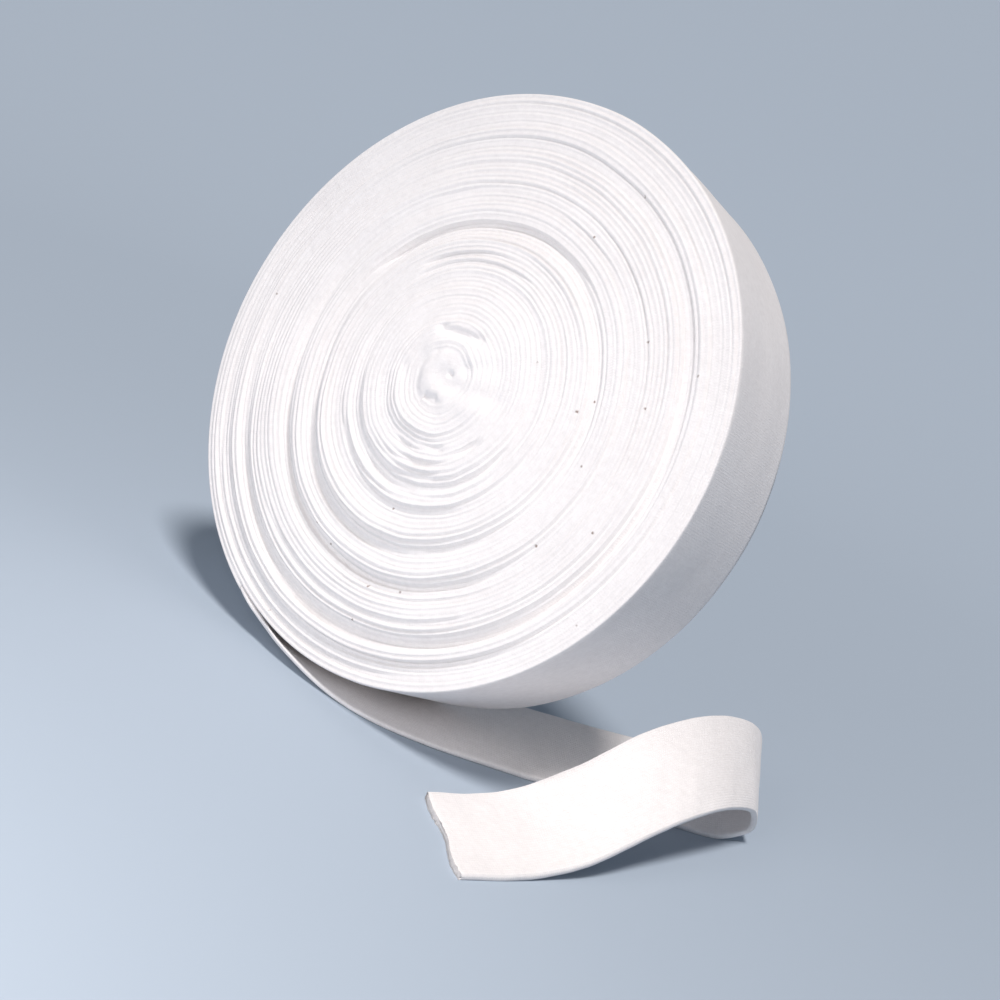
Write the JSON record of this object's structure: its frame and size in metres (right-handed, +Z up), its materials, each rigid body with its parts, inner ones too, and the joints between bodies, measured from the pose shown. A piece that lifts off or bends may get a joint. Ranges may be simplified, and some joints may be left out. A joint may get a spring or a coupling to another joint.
{
  "type": "casting tape roll",
  "caption": "Coreless roll of white knitted cotton casting tape, standing on its rim, with its loose end looped over itself.",
  "frame": {"origin": "on the floor under the roll, in the middle of the width of the tape that it rests on", "axes": "+Z up, +Y the way the roll leans back and away from its telescoped front face, +X the way the tape runs off"},
  "size_m": [0.2683, 0.2028, 0.241],
  "materials": {
    "knit_cotton": "soft matt white cotton knit, slightly fuzzy, with sparse brown seed flecks"
  },
  "bodies": {
    "root": {"wound_roll": "knit_cotton", "loose_end": "knit_cotton"}
  },
  "joints": []
}
